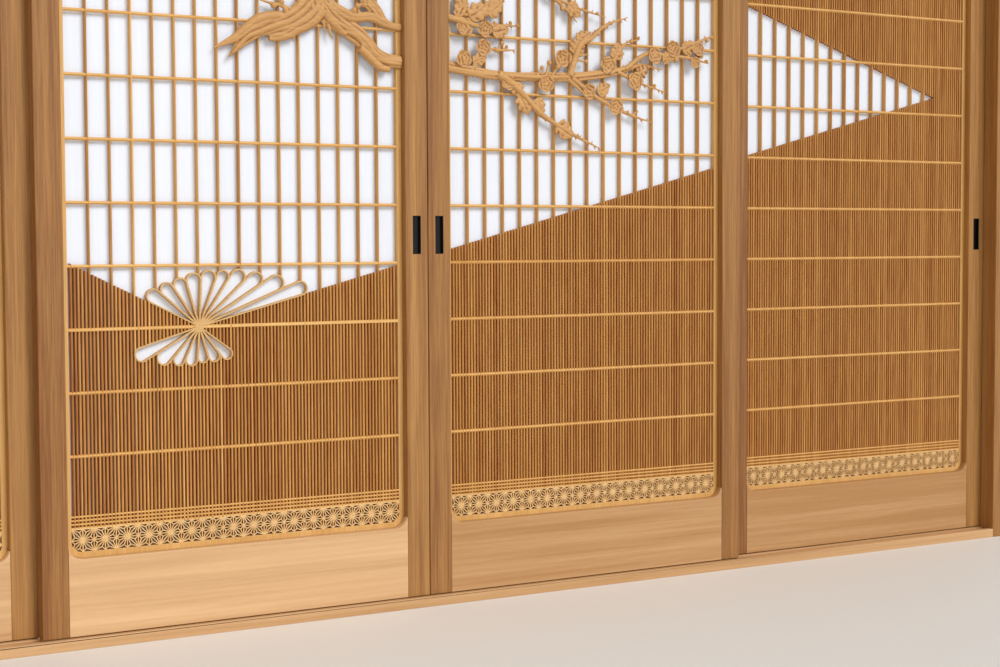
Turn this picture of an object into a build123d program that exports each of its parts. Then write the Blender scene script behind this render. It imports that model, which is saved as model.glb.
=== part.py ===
from build123d import *

import math
import os
from dataclasses import dataclass
from functools import cache

# A four-leaf sliding shoji screen in its frame. Millimetres. X runs along the screen,
# Y away from the viewer, Z up. The origin is on the floor, in the middle of the sill.

# Lattice of one leaf
pane_pitch = 49.0
panes = 16
slats_per_pane = 6
slat_face = 4.1
upright_face = 3.6
bar_pitch = 136.0
bars = 11
bar_height = 7.4
first_bar = 384.0
bar_depth = 5.0
lattice_depth = 13.5
mesh_bars = 4
mesh_bar_height = 4.0
hemp_rows = 2
hemp_strip = 3.0

# Frame of one leaf
stile_face = 58.0
bottom_rail = 166.0
top_rail = 58.0
border_face = 12.5
border_radius = 34.0
border_arm = 6.0
horn_radius = 33.0
horn_sweep = 75.0
reveal = 20.0
back_recess = 1.0
paper_thick = 0.5
paper_inset = 1.0
arris = 1.5
rail_arris = 2.5
tenon_thick = 12.0
tenon_length = 34.0
tenon_shoulder = 14.0
horn_shoulder = 40.0

# Finger pulls
pull_width = 21.0
pull_height = 90.0
pull_depth = 9.0
pull_wall = 1.2
pull_lip = 0.5
pull_middle = 858.0

# Sill, head and jambs
sill_height = 24.0
sill_groove = 3.0
head_height = 40.0
head_groove = 15.0
groove_width = 24.0
tongue_clearance = 1.5
running_gap = 0.3
shoulder_gap = 3.0
head_engagement = 10.0
leaf_clearance = 3.0
ledge = 11.5
jamb_face = 40.0
jamb_tenon = 20.0
jamb_tenon_shoulder = 12.0
sill_tenon_shoulder = 6.0
meeting_gap = 2.0
lap = 2.0
jamb_gap = 1.0

# Ridge line that the slats are cut to, in slopes away from its lowest and highest points
valley_upright = 6
valley_bar = 2
slope_left = -0.495
slope_right = 0.265
peak_x = 1673.0
slope_sky = -0.326

# Fan of bent strips, standing on the lowest point of the ridge line
fan_rib = 4.0
fan_rim = 1.2
fan_hub = 10.0
fan_chords = 5
# Loops above and below the pivot, from the left: the direction of the far rib in degrees,
# counted from level, and the length of the ribs up to the loop's round end
fan_start = 153.5
fan_loops = (
    (139.0, 124.0),
    (123.5, 110.0),
    (106.0, 101.0),
    (87.0, 101.0),
    (69.5, 109.0),
    (56.5, 123.0),
    (43.0, 142.0),
    (32.0, 169.0),
    (22.0, 206.0),
    (14.8, 256.0),
)
root_start = -163.0
root_loops = (
    (-150.0, 143.0),
    (-132.0, 104.0),
    (-115.0, 86.0),
    (-94.0, 74.0),
    (-73.5, 68.0),
    (-53.0, 73.0),
    (-36.0, 88.0),
)
seat_gap = 0.3
shortest_piece = 8.0

# Carved branches in front of the lattice
carving_depth = 15.0
leaf_relief = 7.0
blossom_relief = 10.0
carving_clearance = 0.5

# Proportions of the carved forms
limb_roundness = 0.7
thin_limb_rise = 0.4
limb_profile = ((-1, 0), (-0.72, 0.72), (0, 1), (0.72, 0.72), (1, 0))
blade_belly = 0.26
blade_shoulder = 0.2
blossom_points = 5
blossom_notch = 0.72

# Derived sizes of one leaf
lattice_width = panes * pane_pitch
slat_pitch = pane_pitch / slats_per_pane
leaf_width = lattice_width + 2 * (border_face + stile_face)
leaf_thick = reveal + lattice_depth + paper_thick + back_recess
lattice_left = stile_face + border_face
lattice_right = lattice_left + lattice_width
lattice_bottom = bottom_rail + border_face
lattice_top = first_bar + bars * bar_pitch
hemp_cell = pane_pitch / hemp_rows
hemp_top = lattice_bottom + hemp_rows * hemp_cell
leaf_height = lattice_top + border_face + top_rail
bar_front = reveal + lattice_depth - bar_depth
lattice_back = reveal + lattice_depth
mid_depth = reveal + lattice_depth / 2

# Derived sizes of the frame
track_pitch = leaf_thick + leaf_clearance
frame_depth = track_pitch + leaf_thick + 2 * ledge
opening_width = 4 * leaf_width + meeting_gap - 2 * lap + 2 * jamb_gap
leaf_base = sill_height + shoulder_gap
head_base = leaf_base + leaf_height + shoulder_gap
frame_height = head_base + head_height
tongue_thick = groove_width - 2 * tongue_clearance
bottom_tongue = shoulder_gap + sill_groove - running_gap
top_tongue = shoulder_gap + head_engagement


@dataclass(frozen=True)
class Leaf:
    """One sliding leaf: its number, left edge, front face and the side of its pulls."""

    number: int
    left: float
    front: float
    pull_on_right: bool


front_track = -track_pitch / 2 - leaf_thick / 2
rear_track = track_pitch / 2 - leaf_thick / 2
inner_left = -meeting_gap / 2 - leaf_width
inner_right = meeting_gap / 2
LEAVES = (
    Leaf(1, inner_left - leaf_width + lap, rear_track, False),
    Leaf(2, inner_left, front_track, True),
    Leaf(3, inner_right, front_track, False),
    Leaf(4, inner_right + leaf_width - lap, rear_track, True),
)

# The lowest point of the ridge line is a crossing of leaf 2's lattice.
valley_local = (lattice_left + valley_upright * pane_pitch, first_bar + valley_bar * bar_pitch)
valley_x = LEAVES[1].left + valley_local[0]
valley_z = valley_local[1]
peak_z = valley_z + slope_right * (peak_x - valley_x)


def block(x0, x1, y0, y1, z0, z1):
    """A box between two corners."""
    return Pos(x0, y0, z0) * Box(x1 - x0, y1 - y0, z1 - z0, align=(Align.MIN,) * 3)


def prism(points, y0, y1):
    """A solid with the outline of points (x, z), from y0 back to y1."""
    outline = Polyline(*[(x, y0, z) for x, z in points], close=True)
    return extrude(make_face(outline), y1 - y0, dir=(0, 1, 0))


def ridge(x):
    """Height of the ridge line over the leaf's bottom, at x along the screen."""
    if x > peak_x:
        return lattice_top
    slope = slope_left if x < valley_x else slope_right
    return valley_z + slope * (x - valley_x)


def sky(x):
    """Height of the line above which the slats start again, left of the peak."""
    return peak_z + slope_sky * (x - peak_x)


class Petal:
    """A drop-shaped loop between two ribs of the fan, which it shares with its neighbours."""

    def __init__(self, near, far, length):
        self.pivot = Vector(*valley_local)
        self.spread = abs(near - far) / 2
        self.along = Vector(1, 0).rotate(Axis.Z, (near + far) / 2)
        self.radius = length * math.tan(math.radians(self.spread))
        self.centre = self.pivot + self.along * (length / math.cos(math.radians(self.spread)))

    def outline(self, grown=0.0):
        """Points (x, z) round the petal, moved out from the middle of its ribs by grown."""
        swing = 90 + self.spread
        turns = [swing - 2 * swing * n / fan_chords for n in range(fan_chords + 1)]
        end = [
            self.centre + self.along.rotate(Axis.Z, turn) * (self.radius + grown)
            for turn in turns
        ]
        if grown < 0:
            root = [self.pivot - self.along * (grown / math.sin(math.radians(self.spread)))]
        else:
            sides = -swing, swing
            root = [self.pivot + self.along.rotate(Axis.Z, turn) * grown for turn in sides]
        return [(point.X, point.Y) for point in [*root, *end]]


def petals(start, loops):
    """The petals of a row of loops, side by side from the start direction on."""
    row = []
    for far, length in loops:
        row.append(Petal(start, far, length))
        start = far
    return row


FAN = petals(fan_start, fan_loops) + petals(root_start, root_loops)


def hub_rim(grown=0.0):
    """Points (x, z) round the solid middle of the fan."""
    x, z = valley_local
    turns = [math.pi * n / fan_chords for n in range(2 * fan_chords)]
    radius = fan_hub + grown
    return [(x + radius * math.cos(turn), z + radius * math.sin(turn)) for turn in turns]


@cache
def fan_blank(gap=0.0):
    """The fan with its loops filled in, grown by a gap."""
    blanks = [prism(petal.outline(fan_rim + gap), reveal, lattice_back) for petal in FAN]
    return prism(hub_rim(gap), reveal, lattice_back) + blanks


def past_fan(leaf, pieces):
    """What the fan leaves of a leaf's lattice pieces, without bits too short to hold."""
    if leaf.number != 2:
        return pieces
    room = fan_blank(seat_gap)
    left = [solid for piece in pieces for solid in (piece - room).solids()]
    return [solid for solid in left if solid.bounding_box().diagonal >= shortest_piece]


def standing_piece(x, face, z0, z1, cut0=None, cut1=None):
    """A lattice piece that stands at x, with its ends level or cut to a line."""
    left, right = x - face / 2, x + face / 2
    low = [cut0(left), cut0(right)] if cut0 else [z0, z0]
    high = [cut1(left), cut1(right)] if cut1 else [z1, z1]
    points = [(left, low[0]), (right, low[1]), (right, high[1]), (left, high[0])]
    return prism(points, reveal, bar_front)


def slats(leaf):
    """The close slats between the uprights, below the ridge line and above the sky line."""
    pieces = []
    for n in range(1, panes * slats_per_pane):
        if n % slats_per_pane == 0:
            continue
        x = lattice_left + n * slat_pitch
        along = leaf.left + x
        cut = (lambda at: ridge(leaf.left + at)) if along < peak_x - slat_pitch else None
        pieces.append(standing_piece(x, slat_face, hemp_top, lattice_top, None, cut))
        if leaf.number == 4 and along < peak_x - slat_pitch:
            start = lambda at: sky(leaf.left + at)
            pieces.append(standing_piece(x, slat_face, 0, lattice_top, start, None))
    return past_fan(leaf, pieces)


def uprights(leaf):
    """The main uprights, one at each pane, which stop at the fan."""
    places = [lattice_left + n * pane_pitch for n in range(1, panes)]
    pieces = [standing_piece(x, upright_face, hemp_top, lattice_top) for x in places]
    return past_fan(leaf, pieces)


def cross_bar(leaf, z, height):
    """A bar across the lattice at height z, in as many lengths as the fan leaves."""
    low, high = z - height / 2, z + height / 2
    bar = block(lattice_left, lattice_right, bar_front, lattice_back, low, high)
    return past_fan(leaf, [bar])


def crossbars(leaf):
    """The bars that part the panes."""
    return [
        piece
        for n in range(bars)
        for piece in cross_bar(leaf, first_bar + n * bar_pitch, bar_height)
    ]


def mesh(leaf):
    """The close bars at the foot of the slats."""
    heights = [hemp_top + mesh_bar_height / 2 + n * slat_pitch for n in range(mesh_bars)]
    return [piece for z in heights for piece in cross_bar(leaf, z, mesh_bar_height)]


def zigzag(flip, y0, y1):
    """A strip that runs up and down between the foot and the head of the hemp-leaf band."""
    half = hemp_strip / math.sqrt(2)
    low, high = lattice_bottom + half, hemp_top - half
    xs = [lattice_left + n * pane_pitch for n in range(panes + 1)]
    middle = [(x, low if (n + flip) % 2 else high) for n, x in enumerate(xs)]
    if flip:
        # The outer ends stop short of the border's round corners.
        short = (border_radius - border_face) * (1 - math.sqrt(0.5)) + 2 * seat_gap
        lift = short * (high - low) / pane_pitch
        middle[0] = (xs[0] + short, low + lift)
        middle[-1] = (xs[-1] - short, low + lift)
    above = [(x, z + half) for x, z in middle]
    below = [(x, z - half) for x, z in reversed(middle)]
    return prism(above + below, y0, y1)


def hemp_band(leaf):
    """The crossed strips of the hemp-leaf band."""
    return [zigzag(0, reveal, mid_depth), zigzag(1, mid_depth, lattice_back)]


def rounded_foot(x0, x1, z0, z1, radius):
    """A wire round a field whose two lower corners are round, in the plane Y = 0."""
    turn = radius * (1 - math.cos(math.radians(45)))
    return Wire(
        [
            Line((x0, 0, z1), (x0, 0, z0 + radius)).edge(),
            ThreePointArc(
                (x0, 0, z0 + radius), (x0 + turn, 0, z0 + turn), (x0 + radius, 0, z0)
            ).edge(),
            Line((x0 + radius, 0, z0), (x1 - radius, 0, z0)).edge(),
            ThreePointArc(
                (x1 - radius, 0, z0), (x1 - turn, 0, z0 + turn), (x1, 0, z0 + radius)
            ).edge(),
            Line((x1, 0, z0 + radius), (x1, 0, z1)).edge(),
            Line((x1, 0, z1), (x0, 0, z1)).edge(),
        ]
    )


def border(leaf):
    """The light strips round the lattice: a foot with round corners, two sides and a head."""
    x0, x1 = stile_face, leaf_width - stile_face
    z0, z1 = bottom_rail, lattice_top + border_face
    shoulder = z0 + border_radius + border_arm
    inner = border_radius - border_face
    outside = Face(rounded_foot(x0, x1, z0, shoulder, border_radius))
    hole = Face(rounded_foot(lattice_left, lattice_right, lattice_bottom, shoulder, inner))
    foot = extrude(outside - hole, lattice_depth, dir=(0, 1, 0))
    sides = [
        block(a, a + border_face, reveal, lattice_back, shoulder, z1)
        for a in (x0, lattice_right)
    ]
    head = block(lattice_left, lattice_right, reveal, lattice_back, lattice_top, z1)
    return [Pos(0, reveal, 0) * foot, *sides, head]


def paper(leaf):
    """The sheet glued to the back of the lattice and its border."""
    x0, x1 = stile_face + paper_inset, leaf_width - stile_face - paper_inset
    z0, z1 = bottom_rail + paper_inset, lattice_top + border_face - paper_inset
    cut = border_radius * math.sqrt(0.5)
    outline = [(x0, z0 + cut), (x0 + cut, z0), (x1 - cut, z0), (x1, z0 + cut), (x1, z1), (x0, z1)]
    return [prism(outline, lattice_back, lattice_back + paper_thick)]


def runners():
    """The strips along a leaf's foot and head that ride in the sill's and the head's grooves."""
    y0 = (leaf_thick - tongue_thick) / 2
    bottom = block(0, leaf_width, y0, y0 + tongue_thick, -bottom_tongue, 0)
    top = block(0, leaf_width, y0, y0 + tongue_thick, leaf_height, leaf_height + top_tongue)
    return [bottom, top]


def bottom_tenon(x0, x1):
    """The bottom rail's tenon, or its mortise, from x0 to x1."""
    y0 = (leaf_thick - tenon_thick) / 2
    return block(x0, x1, y0, y0 + tenon_thick, tenon_shoulder, bottom_rail - horn_shoulder)


def top_tenon(x0, x1):
    """The top rail's tenon, or its mortise, from x0 to x1."""
    y0 = (leaf_thick - tenon_thick) / 2
    z0 = leaf_height - top_rail + tenon_shoulder
    return block(x0, x1, y0, y0 + tenon_thick, z0, leaf_height - tenon_shoulder)


def pull_sides():
    """The two faces of a leaf, as the face's depth and the direction into the wood."""
    return (0.0, 1.0), (leaf_thick, -1.0)


def pull_block(width, height, y_outer, y_inner):
    """A block centred on the left stile at the height of the pulls."""
    x, z = stile_face / 2, pull_middle
    y0, y1 = sorted((y_outer, y_inner))
    return block(x - width / 2, x + width / 2, y0, y1, z - height / 2, z + height / 2)


@cache
def left_stile(with_pulls):
    """A stile for the left side of a leaf."""
    body = block(0, stile_face, 0, leaf_thick, 0, leaf_height)
    stile = chamfer(body.edges().filter_by(Axis.Z), arris)
    stile -= bottom_tenon(stile_face - tenon_length, stile_face)
    stile -= top_tenon(stile_face - tenon_length, stile_face)
    if with_pulls:
        for face, inward in pull_sides():
            stile -= pull_block(pull_width, pull_height, face, face + inward * pull_depth)
    return stile


@cache
def pulls():
    """The two cups let into the left stile, one on each face."""
    cups = []
    for face, inward in pull_sides():
        lip, floor = face - inward * pull_lip, face + inward * pull_depth
        cup = pull_block(pull_width, pull_height, lip, floor)
        hollow = pull_block(
            pull_width - 2 * pull_wall,
            pull_height - 2 * pull_wall,
            lip,
            floor - inward * pull_wall,
        )
        cups.append(cup - hollow)
    return cups


def mirrored(piece):
    """A piece of the left stile moved over to the right stile."""
    return Pos(leaf_width, 0, 0) * piece.mirror(Plane.YZ)


@cache
def rail_bottom():
    """The bottom rail, with horns that round the opening's lower corners."""
    x0, x1 = stile_face, leaf_width - stile_face
    sweep = math.radians(horn_sweep)
    centre_z = bottom_rail + horn_radius
    rise = centre_z - horn_radius * math.cos(sweep)
    reach = horn_radius * (1 - math.sin(sweep))
    half = math.radians(horn_sweep / 2)
    belly_x = horn_radius * (1 - math.sin(half))
    belly_z = centre_z - horn_radius * math.cos(half)
    edges = [
        Line((x0, 0, 0), (x1, 0, 0)),
        Line((x1, 0, 0), (x1, 0, rise)),
        Line((x1, 0, rise), (x1 - reach, 0, rise)),
        ThreePointArc(
            (x1 - reach, 0, rise), (x1 - belly_x, 0, belly_z), (x1 - horn_radius, 0, bottom_rail)
        ),
        Line((x1 - horn_radius, 0, bottom_rail), (x0 + horn_radius, 0, bottom_rail)),
        ThreePointArc(
            (x0 + horn_radius, 0, bottom_rail), (x0 + belly_x, 0, belly_z), (x0 + reach, 0, rise)
        ),
        Line((x0 + reach, 0, rise), (x0, 0, rise)),
        Line((x0, 0, rise), (x0, 0, 0)),
    ]
    board = extrude(Face(Wire([edge.edge() for edge in edges])), leaf_thick, dir=(0, 1, 0))
    top = board.edges().filter_by(
        lambda e: e.geom_type == GeomType.LINE
        and abs(e.center().Z - bottom_rail) < arris
        and abs(e.tangent_at(0).X) > 0.9
        and e.center().Y < mid_depth
    )
    rail = chamfer(top, rail_arris)
    for a, b in ((x0 - tenon_length, x0), (x1, x1 + tenon_length)):
        rail += bottom_tenon(a, b)
    return rail


@cache
def rail_top():
    """The top rail."""
    x0, x1 = stile_face, leaf_width - stile_face
    rail = block(x0, x1, 0, leaf_thick, leaf_height - top_rail, leaf_height)
    for a, b in ((x0 - tenon_length, x0), (x1, x1 + tenon_length)):
        rail += top_tenon(a, b)
    return rail


def fan():
    """The fan of bent strips, with its ribs grown together round the pivot."""
    holes = [prism(petal.outline(-fan_rib / 2), reveal, lattice_back) for petal in FAN]
    return fan_blank() - holes


def limb(stations, depth):
    """A carved limb through stations (x, z, width), flat behind and rounded in front."""
    sections = []
    for n, (x, z, width) in enumerate(stations):
        before, after = stations[max(n - 1, 0)], stations[min(n + 1, len(stations) - 1)]
        along = Vector(after[0] - before[0], after[1] - before[1]).normalized()
        across = Vector(-along.Y, along.X)
        rise = min(depth, max(width * limb_roundness, depth * thin_limb_rise))
        corners = [
            (
                lattice_left + x + across.X * a * width / 2,
                reveal - rise * h,
                z + across.Y * a * width / 2,
            )
            for a, h in limb_profile
        ]
        sections.append(make_face(Polyline(*corners, close=True)))
    return loft(sections, ruled=True)


def leaf_blade(x, z, length, degrees):
    """A pointed leaf of the carving."""
    tip, shoulder, side = length / 2, length * blade_shoulder, length * blade_belly
    shape = [
        (-tip, 0),
        (-shoulder, -side),
        (shoulder, -side),
        (tip, 0),
        (shoulder, side),
        (-shoulder, side),
    ]
    turn = math.radians(degrees)
    points = [
        (
            lattice_left + x + a * math.cos(turn) - b * math.sin(turn),
            z + a * math.sin(turn) + b * math.cos(turn),
        )
        for a, b in shape
    ]
    return prism(points, reveal - leaf_relief, reveal)


def blossom(x, z, width):
    """A plum blossom: points and notches by turns round a middle."""
    points = []
    for n in range(2 * blossom_points):
        radius = width / 2 * (1 if n % 2 else blossom_notch)
        turn = math.pi / 2 + math.pi * n / blossom_points
        points.append(
            (lattice_left + x + radius * math.cos(turn), z + radius * math.sin(turn))
        )
    return prism(points, reveal - blossom_relief, reveal)


pine_end = lattice_width + border_face
pine_head = lattice_top - 8.0
plum_start = -border_face

# Limbs of the pine on leaf 2, as (x from the lattice's left edge, height, width)
PINE = (
    [(604, pine_head, 58), (566, 1720, 60), (588, 1560, 58), (574, 1440, 62), (562, 1378, 64)],
    [(586, 1392, 58), (548, 1358, 60), (500, 1334, 56), (459, 1326, 42), (418, 1330, 26)],
    [(459, 1336, 30), (426, 1334, 30), (392, 1314, 24), (359, 1289, 15), (320, 1267, 4)],
    [(514, 1330, 36), (473, 1316, 32), (439, 1306, 28), (399, 1282, 22), (359, 1250, 4)],
    [(555, 1345, 36), (520, 1320, 36), (486, 1302, 28), (456, 1295, 16)],
    [(590, 1396, 44), (624, 1356, 44), (659, 1333, 44), (691, 1306, 44), (727, 1282, 40)]
    + [(759, 1268, 40), (pine_end, 1261, 42)],
    [(646, 1340, 26), (681, 1360, 26), (710, 1363, 24), (742, 1354, 24), (pine_end, 1340, 20)],
    [(668, 1470, 12), (700, 1402, 18), (746, 1360, 8)],
    [(600, 1540, 22), (640, 1500, 20), (672, 1466, 16)],
    [(566, 1388, 9), (514, 1375, 8), (487, 1376, 7), (456, 1373, 3)],
)

# Limbs of the plum on leaf 3
PLUM = (
    [(plum_start, 1258, 28), (48, 1250, 26), (138, 1243, 22), (263, 1244, 22)]
    + [(360, 1250, 21), (470, 1268, 18), (553, 1287, 12), (619, 1279, 3)],
    [(128, 1244, 20), (170, 1223, 22), (208, 1190, 18), (249, 1157, 14), (290, 1132, 11)]
    + [(346, 1106, 9), (430, 1072, 3)],
    [(329, 1242, 9), (369, 1213, 8), (398, 1192, 3)],
    [(341, 1246, 12), (423, 1195, 12), (500, 1165, 9), (582, 1143, 3)],
    [(478, 1268, 10), (536, 1244, 9), (626, 1221, 3)],
    [(500, 1276, 10), (571, 1318, 11), (626, 1317, 10), (700, 1311, 8), (762, 1302, 4)],
    [(640, 1316, 8), (674, 1336, 9), (718, 1352, 8), (784, 1378, 3)],
    [(336, 1250, 20), (350, 1292, 18), (366, 1333, 18), (398, 1347, 14), (434, 1377, 9)]
    + [(508, 1405, 3)],
    [(452, 1268, 9), (476, 1312, 12), (500, 1338, 6), (545, 1352, 3)],
    [(plum_start, 1374, 18), (36, 1367, 15), (75, 1358, 12), (117, 1361, 9), (196, 1365, 3)],
    [(plum_start, 1502, 26), (120, 1492, 20), (232, 1470, 15), (327, 1412, 9), (357, 1383, 3)],
    [(262, 1456, 9), (335, 1425, 9), (442, 1401, 3)],
    [(58, 1254, 9), (94, 1300, 9), (146, 1304, 7), (178, 1306, 3)],
)
PLUM_BLADES = (
    (31, 1389, 44, 60),
    (70, 1384, 52, 40),
    (112, 1404, 52, 20),
    (138, 1350, 44, 165),
    (96, 1310, 40, 130),
    (72, 1274, 46, 20),
    (188, 1214, 44, 70),
    (210, 1170, 50, 135),
    (256, 1176, 44, 95),
    (306, 1106, 46, 140),
    (372, 1334, 50, 70),
    (344, 1420, 50, 110),
    (478, 1322, 46, 75),
    (592, 1318, 42, 30),
    (700, 1352, 44, 150),
    (418, 1208, 40, 90),
)
PLUM_BLOSSOMS = (
    (28, 1352, 38),
    (92, 1350, 34),
    (36, 1276, 34),
    (152, 1228, 34),
    (266, 1226, 36),
    (318, 1288, 42),
    (392, 1212, 34),
    (452, 1286, 36),
    (470, 1162, 36),
    (532, 1232, 40),
    (652, 1334, 38),
    (712, 1300, 26),
)


def carved(parts):
    """Limbs, leaves and blossoms cut from one board, trimmed between stiles and rails."""
    whole = parts[0] + parts[1:]
    side = stile_face + carving_clearance
    z0, z1 = bottom_rail + carving_clearance, leaf_height - top_rail - carving_clearance
    return whole & block(side, leaf_width - side, 0, reveal, z0, z1)


def pine():
    """The pine limbs of leaf 2."""
    return carved([limb(stations, carving_depth) for stations in PINE])


def plum():
    """The plum limbs of leaf 3, with their leaves and blossoms."""
    parts = [limb(stations, carving_depth) for stations in PLUM]
    parts += [leaf_blade(*blade) for blade in PLUM_BLADES]
    parts += [blossom(*flower) for flower in PLUM_BLOSSOMS]
    return carved(parts)


def jamb_tenons(sign, z0, z1):
    """The tenon of the sill or the head that enters the jamb on one side."""
    x0, x1 = sorted((sign * opening_width / 2, sign * (opening_width / 2 + jamb_tenon)))
    half = frame_depth / 2 - jamb_tenon_shoulder
    return block(x0, x1, -half, half, z0, z1)


def sill_tenon(sign):
    """The sill's tenon on one side."""
    return jamb_tenons(sign, sill_groove, sill_height - sill_tenon_shoulder)


def head_tenon(sign):
    """The head's tenon on one side."""
    return jamb_tenons(sign, head_base + head_groove, frame_height - jamb_tenon_shoulder)


def board(z0, z1):
    """A board as long as the opening and as deep as the frame."""
    half_width, half_depth = opening_width / 2, frame_depth / 2
    return block(-half_width, half_width, -half_depth, half_depth, z0, z1)


def guide_strips(z0, z1):
    """Three strips that leave the two grooves that the leaves run in."""
    half = opening_width / 2
    near, far = track_pitch / 2 - groove_width / 2, track_pitch / 2 + groove_width / 2
    spans = (-frame_depth / 2, -far), (-near, near), (far, frame_depth / 2)
    return [block(-half, half, y0, y1, z0, z1) for y0, y1 in spans]


def sill():
    """The sill: a board with low guide strips, which leave two shallow grooves."""
    floor = sill_height - sill_groove
    base = board(0, floor) + sill_tenon(-1) + sill_tenon(1)
    return [base, *guide_strips(floor, sill_height)]


def head():
    """The head: a board with guide strips so high that a leaf can be lifted out."""
    roof = head_base + head_groove
    base = board(roof, frame_height) + head_tenon(-1) + head_tenon(1)
    return [base, *guide_strips(head_base, roof)]


def jamb(sign):
    """A jamb, with mortises for the sill and the head."""
    inside = sign * opening_width / 2
    x0, x1 = sorted((inside, inside + sign * jamb_face))
    post = block(x0, x1, -frame_depth / 2, frame_depth / 2, 0, frame_height)
    outer = post.edges().filter_by(Axis.Z)
    return chamfer(outer, arris) - sill_tenon(sign) - head_tenon(sign)


def write(name, pieces):
    """Writes one node's solids to parts/name.step."""
    solids = [solid for piece in pieces for solid in piece.solids()]
    shape = solids[0] if len(solids) == 1 else Compound(children=solids)
    shape.label = name
    export_step(shape, f"parts/{name}.step")


def leaf_pieces(leaf):
    """Every piece of one leaf by name, in the leaf's own frame."""
    left = left_stile(not leaf.pull_on_right)
    right = mirrored(left_stile(leaf.pull_on_right))
    cups = [mirrored(cup) for cup in pulls()] if leaf.pull_on_right else pulls()
    return {
        "stile_left": [left],
        "stile_right": [right],
        "bottom_rail": [rail_bottom()],
        "top_rail": [rail_top()],
        "runners": runners(),
        "border": border(leaf),
        "paper": paper(leaf),
        "uprights": uprights(leaf),
        "slats": slats(leaf),
        "crossbars": crossbars(leaf),
        "mesh_bars": mesh(leaf),
        "hemp_band": hemp_band(leaf),
        "pulls": cups,
    }


def main():
    """Builds and writes the screen."""
    os.makedirs("parts", exist_ok=True)
    write("sill", sill())
    write("head", head())
    write("jamb_left", [jamb(-1)])
    write("jamb_right", [jamb(1)])
    for leaf in LEAVES:
        at = Pos(leaf.left, leaf.front, leaf_base)
        pieces = leaf_pieces(leaf)
        if leaf.number == 2:
            pieces.update(fan=[fan()], pine=[pine()])
        if leaf.number == 3:
            pieces.update(plum=[plum()])
        for name, parts in pieces.items():
            write(f"leaf_{leaf.number}_{name}", [at * part for part in parts])


main()
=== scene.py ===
"""A four-leaf sliding shoji screen, dressed in wood, paper and lacquered metal."""

from __future__ import annotations

import logging
import math
import random
from collections.abc import Callable, Iterable, Sequence
from dataclasses import dataclass
from enum import Enum

import bmesh
import bpy
from bmesh.types import BMEdge, BMesh, BMVert
from bpy.types import ID, Material, Node, NodeSocket, NodeTree, Object
from mathutils import Matrix, Vector, noise


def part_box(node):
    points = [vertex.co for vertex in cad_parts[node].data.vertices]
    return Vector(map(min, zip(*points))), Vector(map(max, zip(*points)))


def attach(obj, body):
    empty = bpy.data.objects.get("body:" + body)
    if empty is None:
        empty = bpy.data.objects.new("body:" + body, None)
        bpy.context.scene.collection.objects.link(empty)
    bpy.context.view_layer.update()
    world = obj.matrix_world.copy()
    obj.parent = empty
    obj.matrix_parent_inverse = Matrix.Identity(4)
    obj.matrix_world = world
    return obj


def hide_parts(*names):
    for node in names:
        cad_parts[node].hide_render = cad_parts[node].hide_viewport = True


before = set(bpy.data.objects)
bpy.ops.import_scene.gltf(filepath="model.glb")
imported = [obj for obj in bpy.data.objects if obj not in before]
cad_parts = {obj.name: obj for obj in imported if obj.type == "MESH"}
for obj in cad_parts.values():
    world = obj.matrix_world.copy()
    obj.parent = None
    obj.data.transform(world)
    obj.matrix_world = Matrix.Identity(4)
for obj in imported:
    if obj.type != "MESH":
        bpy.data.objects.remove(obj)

LOG = logging.getLogger("shoji")
MM = 0.001
Point = tuple[float, float]
Station = tuple[float, float, float]

# A CAD copy is merged at this distance in millimetres, and faces this flat become one.
MERGE_MM = 0.005
FLAT_DEGREES = 1.0
# Outer corners over this angle are rounded.
SHARP_DEGREES = 30.0
# Within the first distance behind a face an edge lies on it, and past the second it doesn't.
ON_FACE = 0.1 * MM
BEHIND_FACE = 1.0 * MM


def linear(code: str) -> tuple[float, float, float, float]:
    """Turns an sRGB hex colour into linear light.

    Args:
        code: Six hex digits, with or without a leading hash.

    Returns:
        Red, green, blue and an alpha of 1.
    """
    digits = code.lstrip("#")
    channels = [int(digits[n : n + 2], 16) / 255 for n in (0, 2, 4)]
    values = [c / 12.92 if c <= 0.04045 else ((c + 0.055) / 1.055) ** 2.4 for c in channels]
    return values[0], values[1], values[2], 1.0


def add_node(tree: NodeTree, kind: str, inputs: dict | None = None, **settings: object) -> Node:
    """Adds one node with its settings and links.

    Args:
        tree: The node tree it goes into.
        kind: Blender's name for the node.
        inputs: Values or sockets by input name or number.
        settings: The node's own properties.

    Returns:
        The new node.
    """
    node = tree.nodes.new(kind)
    for name, value in settings.items():
        setattr(node, name, value)
    for socket, value in (inputs or {}).items():
        if isinstance(value, NodeSocket):
            tree.links.new(value, node.inputs[socket])
        else:
            node.inputs[socket].default_value = value
    return node


class Grain(Enum):
    """The way the fibres of a piece of wood run."""

    ALONG_X = (0.02, 1.0, 1.0)
    ALONG_Z = (1.0, 1.0, 0.02)


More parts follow.
